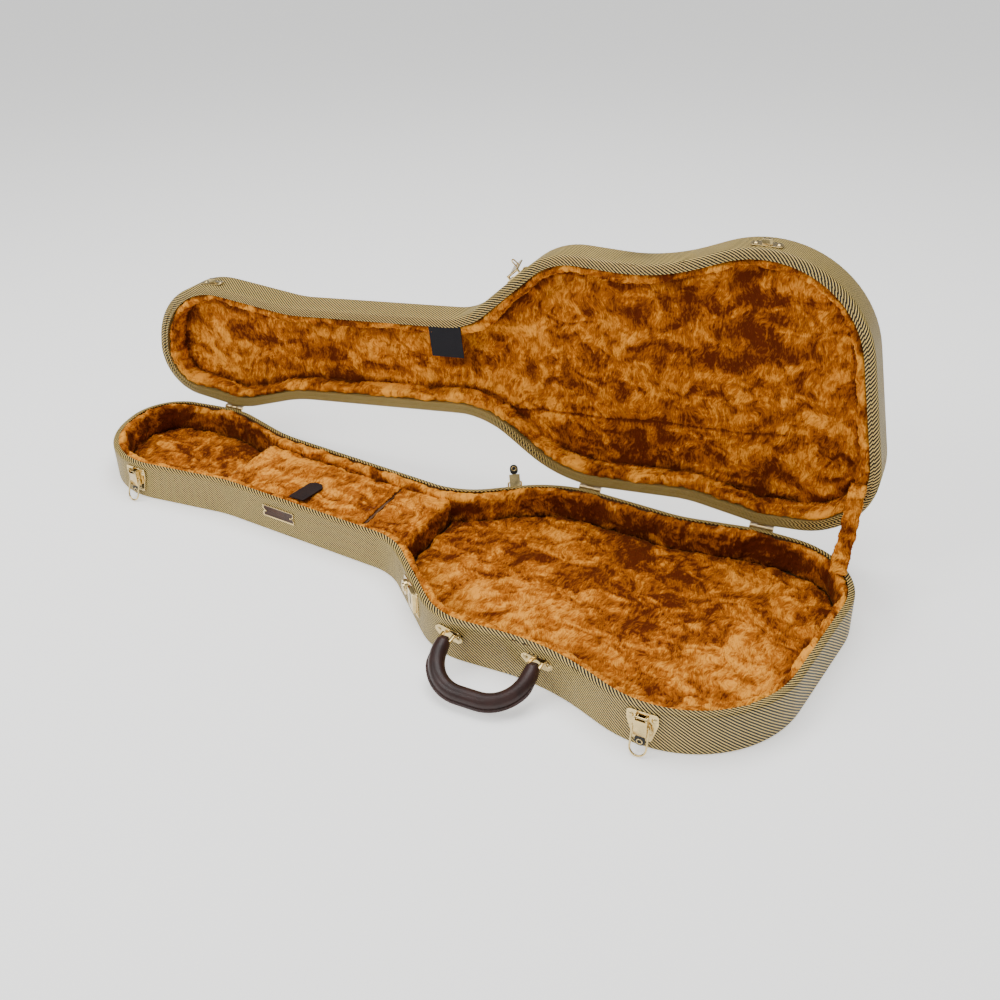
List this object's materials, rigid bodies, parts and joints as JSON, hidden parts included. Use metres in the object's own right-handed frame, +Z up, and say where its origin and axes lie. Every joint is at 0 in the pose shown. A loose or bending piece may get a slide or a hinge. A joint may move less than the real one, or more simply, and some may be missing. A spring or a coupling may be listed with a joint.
{
  "type": "guitar case",
  "caption": "Shaped hard case for a solid-body guitar, covered in tweed cloth and lined with plush, open with its lid standing up, with latches, a lock, a handle and an accessory compartment.",
  "frame": {"origin": "centre of the underside of the base, in the plane it rests on", "axes": "+Z up, +X along the case to its body end, -Y to the handle side"},
  "size_m": [1.0679, 0.4343, 0.4153],
  "materials": {
    "tweed": "woven diagonal tweed cloth, lacquered",
    "plush": "long-pile crushed plush",
    "plywood": "plain ply",
    "brass": "bright pale plate, worn",
    "handle_leather": "smooth stitched leather",
    "tab_leather": "thin dark leather",
    "label_cloth": "plain woven label",
    "badge_enamel": "brown enamel with a pale rim",
    "thumb_black": "dark moulded"
  },
  "bodies": {
    "base": {"base_underside_cover": "tweed", "base_bottom_panel": "plywood", "base_side_wall": "plywood", "base_covering": "tweed", "base_wall_padding": "plush", "body_floor_pad": "plush", "headstock_floor_pad": "plush", "headstock_partition": "plush", "compartment_lining": "plush", "neck_rest_block": "plush", "hinge_base_leaves": "brass", "hinge_pins": "brass", "latch_front_left_plate": "brass", "latch_front_left_pin": "brass", "latch_front_right_plate": "brass", "latch_front_right_pin": "brass", "latch_rear_plate": "brass", "latch_rear_pin": "brass", "lock_plate": "brass", "handle_bracket_left": "brass", "handle_bracket_right": "brass", "name_badge": "badge_enamel", "badge_pins": "brass", "stay_strap": "plush", "base_rivets": "brass"},
    "compartment_lid": {"compartment_lid_board": "plywood", "compartment_lid_cover": "plush", "compartment_pull_tab": "tab_leather"},
    "lid": {"lid_top_cover": "tweed", "lid_top_panel": "plywood", "lid_side_wall": "plywood", "lid_covering": "tweed", "lid_inner_lip": "tweed", "lid_wall_padding": "plush", "lid_panel_padding": "plush", "lid_label": "label_cloth", "hinge_lid_leaves": "brass", "catch_front_left": "brass", "catch_front_right": "brass", "catch_rear": "brass", "hasp_plate": "brass", "hasp_pin": "brass", "lid_rivets": "brass"},
    "latch_front_left_lever_body": {"latch_front_left_lever": "brass", "latch_front_left_thumb_tab": "thumb_black"},
    "latch_front_left_bail_body": {"latch_front_left_bail": "brass"},
    "latch_front_right_lever_body": {"latch_front_right_lever": "brass", "latch_front_right_thumb_tab": "thumb_black"},
    "latch_front_right_bail_body": {"latch_front_right_bail": "brass"},
    "latch_rear_lever_body": {"latch_rear_lever": "brass", "latch_rear_thumb_tab": "thumb_black"},
    "latch_rear_bail_body": {"latch_rear_bail": "brass"},
    "lock_key": {"lock_key_barrel": "brass"},
    "hasp": {"hasp_arm": "brass", "hasp_loop": "brass"},
    "handle": {"handle_grip": "handle_leather"}
  },
  "joints": [
    {"name": "lid_hinge", "type": "hinge", "parent": "base", "child": "lid", "pos_m": [0, 0.1795, 0.05225], "axis": [-1, 0, 0], "range_deg": [-90, 0], "deforming": ["stay_strap"]},
    {"name": "compartment_lid_hinge", "type": "hinge", "parent": "base", "child": "compartment_lid", "pos_m": [-0.02331, 0.09091, 0.043], "axis": [-0.9929, 0.1187, 0], "range_deg": [0, 95]},
    {"name": "handle_swing", "type": "hinge", "parent": "base", "child": "handle", "pos_m": [0.1895, -0.15067, 0.036], "axis": [-1, 0, 0], "range_deg": [-55, 100]},
    {"name": "latch_front_left_lever_swing", "type": "hinge", "parent": "base", "child": "latch_front_left_lever_body", "pos_m": [-0.42546, -0.01747, 0.042], "axis": [-0.9957, 0.0924, 0], "range_deg": [0, 150]},
    {"name": "latch_front_left_bail_swing", "type": "hinge", "parent": "latch_front_left_lever_body", "child": "latch_front_left_bail_body", "pos_m": [-0.42546, -0.01747, 0.032], "axis": [0.9957, -0.0924, 0], "range_deg": [-150, 17]},
    {"name": "latch_front_right_lever_swing", "type": "hinge", "parent": "base", "child": "latch_front_right_lever_body", "pos_m": [0.37393, -0.18198, 0.042], "axis": [-0.9999, 0.0148, 0], "range_deg": [0, 150]},
    {"name": "latch_front_right_bail_swing", "type": "hinge", "parent": "latch_front_right_lever_body", "child": "latch_front_right_bail_body", "pos_m": [0.37393, -0.18198, 0.032], "axis": [0.9999, -0.0148, 0], "range_deg": [-150, 17]},
    {"name": "latch_rear_lever_swing", "type": "hinge", "parent": "base", "child": "latch_rear_lever_body", "pos_m": [0.07918, 0.15137, 0.042], "axis": [0.8261, 0.5636, 0], "range_deg": [-150, 0]},
    {"name": "latch_rear_bail_swing", "type": "hinge", "parent": "latch_rear_lever_body", "child": "latch_rear_bail_body", "pos_m": [0.07636, 0.1555, 0.05066], "axis": [0.8261, 0.5636, 0], "range_deg": [0, 150]},
    {"name": "lock_key_turn", "type": "hinge", "parent": "base", "child": "lock_key", "pos_m": [0.04558, -0.08406, 0.034], "axis": [-0.6775, -0.7356, 0], "range_deg": [0, 90]},
    {"name": "hasp_swing", "type": "hinge", "parent": "lid", "child": "hasp", "pos_m": [0.0648, 0.18575, 0.33406], "axis": [-0.7356, 0, -0.6775], "range_deg": [-165, 5]}
  ],
  "couplings": [
    {"joint": "latch_rear_lever_swing", "follows": "latch_rear_bail_swing", "ratio": -1}
  ]
}
